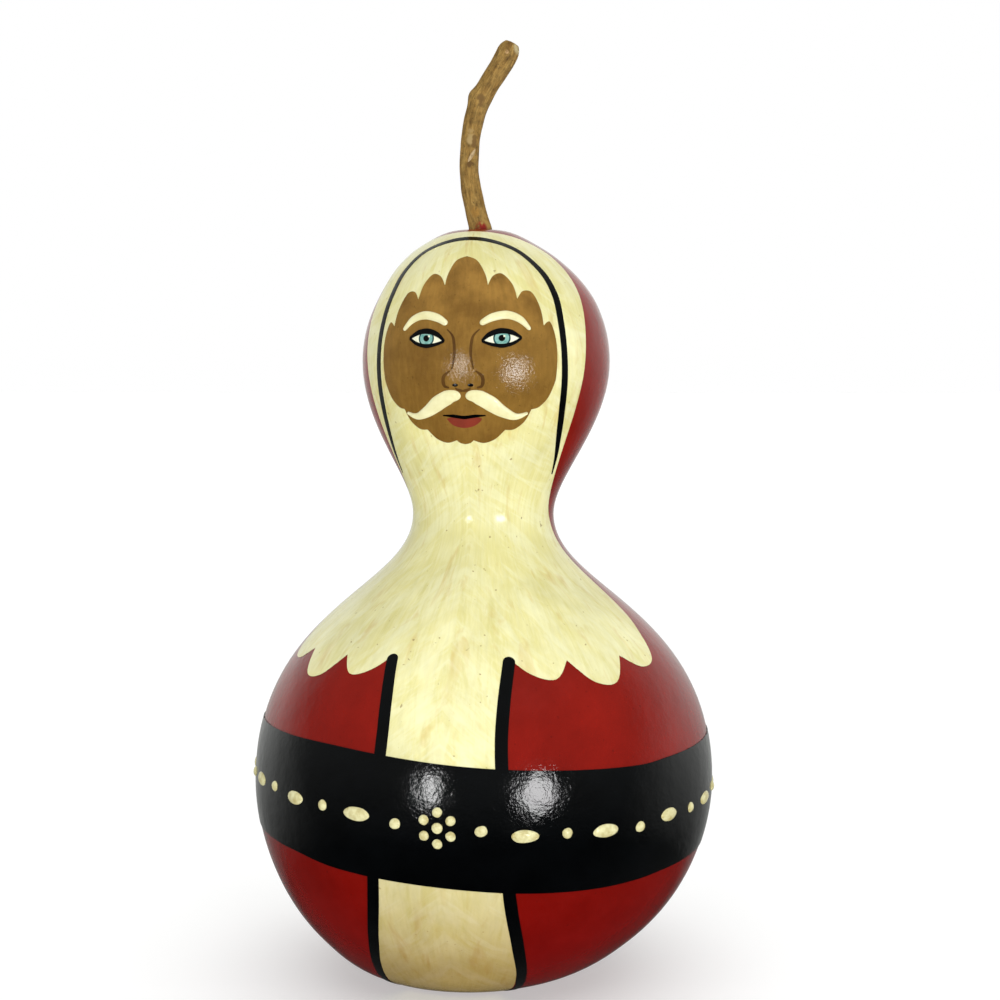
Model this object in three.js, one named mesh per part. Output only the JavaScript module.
// A dried bottle gourd with its woody stalk still on it, standing upright on its blossom end.
// The belly, the narrow neck and the round head are one grown shell, so they are one solid.
// The stalk is the other piece: it sits in the shallow scar at the crown.
// Millimetres, +Z up. The figure's front faces -Y, and the origin is on the ground under the belly.
import * as THREE from "three";
import { mergeVertices } from "three/addons/utils/BufferGeometryUtils.js";

const { clamp, smoothstep } = THREE.MathUtils;

// Driving sizes of the shell: the half widths of its three rounds, and how high each one sits
const FOOT_RADIUS = 20;
const BELLY_RADIUS = 74.1;
const BELLY_HEIGHT = 64;
const NECK_RADIUS = 23.7;
const NECK_HEIGHT = 148.5;
const HEAD_RADIUS = 40.8;
const HEAD_HEIGHT = 197.3;
const CROWN_RADIUS = 6;
const CROWN_HEIGHT = 238.8;

// How far each round stays full before it turns towards the next one
const FOOT_REACH = 32.5;
const BELLY_FULL_BELOW = 29.3;
const BELLY_FULL_ABOVE = 55.1;
const NECK_FULL_BELOW = 23.5;
const NECK_FULL_ABOVE = 11.4;
const HEAD_FULL_BELOW = 21.4;
const HEAD_FULL_ABOVE = 22.5;
const CROWN_REACH = 15.4;

// The gourd grew a little crooked: the foot and the crown sit off the line through the belly
const FOOT_SHIFT = -5;
const FOOT_SHIFT_FADE = 16;
const HEAD_SHIFT = 1;
const CROWN_SHIFT = -2.3;
const CROWN_SHIFT_START = 215;

// Broad dents and swellings round the shell, as shares of its radius
const OVAL_SHARE = 0.006;
const OVAL_TURN = 0.5;
const OVAL_TWIST = 60;
const LOBE_SHARE = 0.003;
const LOBE_TURN = 2.1;
const LOBE_TWIST = 45;
const DENTS_START = 30;
const DENTS_END = 232;

// The two scars: the dimple that the blossom left underneath, and the seat of the stalk on top
const BLOSSOM_SCAR_RADIUS = 6.5;
const BLOSSOM_SCAR_DEPTH = 1.3;
const SOCKET_RADIUS = 4.9;
const SOCKET_DEPTH = 1.8;
const SOCKET_LIP = 0.3;

const SIDES = 64;
const FOOT_STEPS = 12;
const SHOULDER_STEPS = 15;
const NAPE_STEPS = 8;
const CROWN_STEPS = 10;

// The stalk: its line from the socket to the cut end, and its half width along that line
const STALK_GAP = 0.35;
const STALK_LINE = [
  [-1.3, 0, CROWN_HEIGHT - SOCKET_DEPTH + STALK_GAP],
  [-1.35, 0, 239.6],
  [-2.6, 0.5, 244.5],
  [-4.4, 1.4, 254],
  [-4.8, 1.8, 262.5],
  [-4.1, 1.6, 270.5],
  [-1.9, 1.0, 278.5],
  [2.0, 0.3, 286.5],
  [5.6, -0.3, 292.5],
  [8.0, -0.7, 298],
];
const STALK_FOOT_RADIUS = 4.1;
const STALK_WAIST_RADIUS = 3.2;
const STALK_TIP_RADIUS = 4.2;
const STALK_WAIST_AT = 0.45;
const STALK_RIDGES = 5;
const STALK_RIDGE_SHARE = 0.07;
const KNOT_AT = 0.7;
const KNOT_SPREAD = 0.035;
const KNOT_HEIGHT = 0.55;
const CUT_END_ROUND = 0.03;
const STALK_SIDES = 15;
const STALK_STEPS = 36;

// One stretch of the outline: it leaves `from` along `out` and arrives at `to` along `into`
function stretch(from, out, into, to) {
  const first = new THREE.Vector2(...from);
  const last = new THREE.Vector2(...to);
  const leaving = first.clone().add(new THREE.Vector2(...out));
  const arriving = last.clone().sub(new THREE.Vector2(...into));
  return new THREE.CubicBezierCurve(first, leaving, arriving, last);
}

// The shell's outline from the middle of the blossom scar to the middle of the stalk's seat
function shellOutline() {
  const foot = [FOOT_RADIUS, 0];
  const belly = [BELLY_RADIUS, BELLY_HEIGHT];
  const neck = [NECK_RADIUS, NECK_HEIGHT];
  const head = [HEAD_RADIUS, HEAD_HEIGHT];
  const crown = [CROWN_RADIUS, CROWN_HEIGHT];
  const stretches = [
    [stretch(foot, [FOOT_REACH, 0], [0, BELLY_FULL_BELOW], belly), FOOT_STEPS],
    [stretch(belly, [0, BELLY_FULL_ABOVE], [0, NECK_FULL_BELOW], neck), SHOULDER_STEPS],
    [stretch(neck, [0, NECK_FULL_ABOVE], [0, HEAD_FULL_BELOW], head), NAPE_STEPS],
    [stretch(head, [0, HEAD_FULL_ABOVE], [-CROWN_REACH, 0], crown), CROWN_STEPS],
  ];
  const blossomScar = [
    [0, BLOSSOM_SCAR_DEPTH],
    [BLOSSOM_SCAR_RADIUS * 0.6, BLOSSOM_SCAR_DEPTH * 0.8],
    [BLOSSOM_SCAR_RADIUS, 0],
  ];
  const stalkSeat = [
    [SOCKET_RADIUS, CROWN_HEIGHT - SOCKET_LIP],
    [SOCKET_RADIUS, CROWN_HEIGHT - SOCKET_DEPTH],
    [0, CROWN_HEIGHT - SOCKET_DEPTH],
  ];
  return [
    ...blossomScar.map(([r, z]) => new THREE.Vector2(r, z)),
    ...stretches.flatMap(([curve, steps], i) => curve.getPoints(steps).slice(i ? 1 : 0)),
    ...stalkSeat.map(([r, z]) => new THREE.Vector2(r, z)),
  ];
}

// How far the shell's middle line leans along X at a height
function lean(z) {
  return (
    FOOT_SHIFT * Math.exp(-z / FOOT_SHIFT_FADE) +
    HEAD_SHIFT * smoothstep(z, NECK_HEIGHT, HEAD_HEIGHT) +
    CROWN_SHIFT * smoothstep(z, CROWN_SHIFT_START, CROWN_HEIGHT)
  );
}

// How much wider than round the shell is at an angle and a height
function swelling(angle, z) {
  const fade = smoothstep(z, 0, DENTS_START) * (1 - smoothstep(z, HEAD_HEIGHT, DENTS_END));
  const oval = OVAL_SHARE * Math.sin(2 * angle + OVAL_TURN + z / OVAL_TWIST);
  const lobe = LOBE_SHARE * Math.sin(3 * angle + LOBE_TURN - z / LOBE_TWIST);
  return 1 + fade * (oval + lobe);
}

// The turned outline, stood up along Z, then bent and dented as the fruit grew
function shellGeometry() {
  const turned = new THREE.LatheGeometry(shellOutline(), SIDES).rotateX(Math.PI / 2);
  turned.deleteAttribute("normal");
  turned.deleteAttribute("uv");
  const geometry = mergeVertices(turned, 1e-3);
  const place = geometry.attributes.position;
  for (let i = 0; i < place.count; i++) {
    const [x, y, z] = [place.getX(i), place.getY(i), place.getZ(i)];
    const wider = swelling(Math.atan2(y, x), z);
    place.setXYZ(i, x * wider + lean(z), y * wider, z);
  }
  geometry.computeVertexNormals();
  return geometry;
}

// The stalk's half width: stout where it left the fruit, slim in the middle, thicker at the cut
// end, with five ridges that run along it and an old leaf knot on the outside of the bend
function stalkRadius(along, angle) {
  const below = smoothstep(along, 0, STALK_WAIST_AT);
  const above = smoothstep(along, STALK_WAIST_AT, 1);
  const round =
    STALK_FOOT_RADIUS +
    (STALK_WAIST_RADIUS - STALK_FOOT_RADIUS) * below +
    (STALK_TIP_RADIUS - STALK_WAIST_RADIUS) * above;
  const ridges = STALK_RIDGE_SHARE * Math.cos(STALK_RIDGES * angle + 3 * along);
  const knot = Math.exp(-(((along - KNOT_AT) / KNOT_SPREAD) ** 2));
  const outside = Math.max(0, -Math.cos(angle));
  const rounding = Math.sqrt(1 - clamp((along - 1 + CUT_END_ROUND) / CUT_END_ROUND, 0, 1) ** 2 * 0.5);
  return (round * (1 + ridges * (1 - 0.6 * below)) + KNOT_HEIGHT * knot * outside) * rounding;
}

// A closed cylinder laid along the stalk's line. Angle 0 points to +X across the line.
function stalkGeometry() {
  const line = new THREE.CatmullRomCurve3(STALK_LINE.map((p) => new THREE.Vector3(...p)));
  const cylinder = new THREE.CylinderGeometry(1, 1, 1, STALK_SIDES, STALK_STEPS);
  cylinder.deleteAttribute("normal");
  cylinder.deleteAttribute("uv");
  const geometry = mergeVertices(cylinder, 1e-3);
  const place = geometry.attributes.position;
  const depthWise = new THREE.Vector3(0, 1, 0);
  for (let i = 0; i < place.count; i++) {
    const across = Math.hypot(place.getX(i), place.getZ(i));
    const angle = Math.atan2(-place.getZ(i), place.getX(i));
    const along = place.getY(i) + 0.5;
    const middle = line.getPointAt(along);
    const sideways = new THREE.Vector3().crossVectors(depthWise, line.getTangentAt(along)).normalize();
    const inward = new THREE.Vector3().crossVectors(line.getTangentAt(along), sideways);
    const radius = across * stalkRadius(along, angle);
    middle.addScaledVector(sideways, radius * Math.cos(angle));
    middle.addScaledVector(inward, radius * Math.sin(angle));
    place.setXYZ(i, middle.x, middle.y, middle.z);
  }
  geometry.computeVertexNormals();
  return geometry;
}

// Red lacquer over the dried rind
const lacquer = new THREE.MeshStandardMaterial({ color: 0x8f2019, roughness: 0.22, metalness: 0 });
// Bare, weathered stalk
const bark = new THREE.MeshStandardMaterial({ color: 0x7d6138, roughness: 0.8, metalness: 0 });

const gourd = new THREE.Group();

const shell = new THREE.Mesh(shellGeometry(), lacquer);
shell.name = "gourd_shell";
gourd.add(shell);

const stalk = new THREE.Mesh(stalkGeometry(), bark);
stalk.name = "stalk";
gourd.add(stalk);

export default gourd;
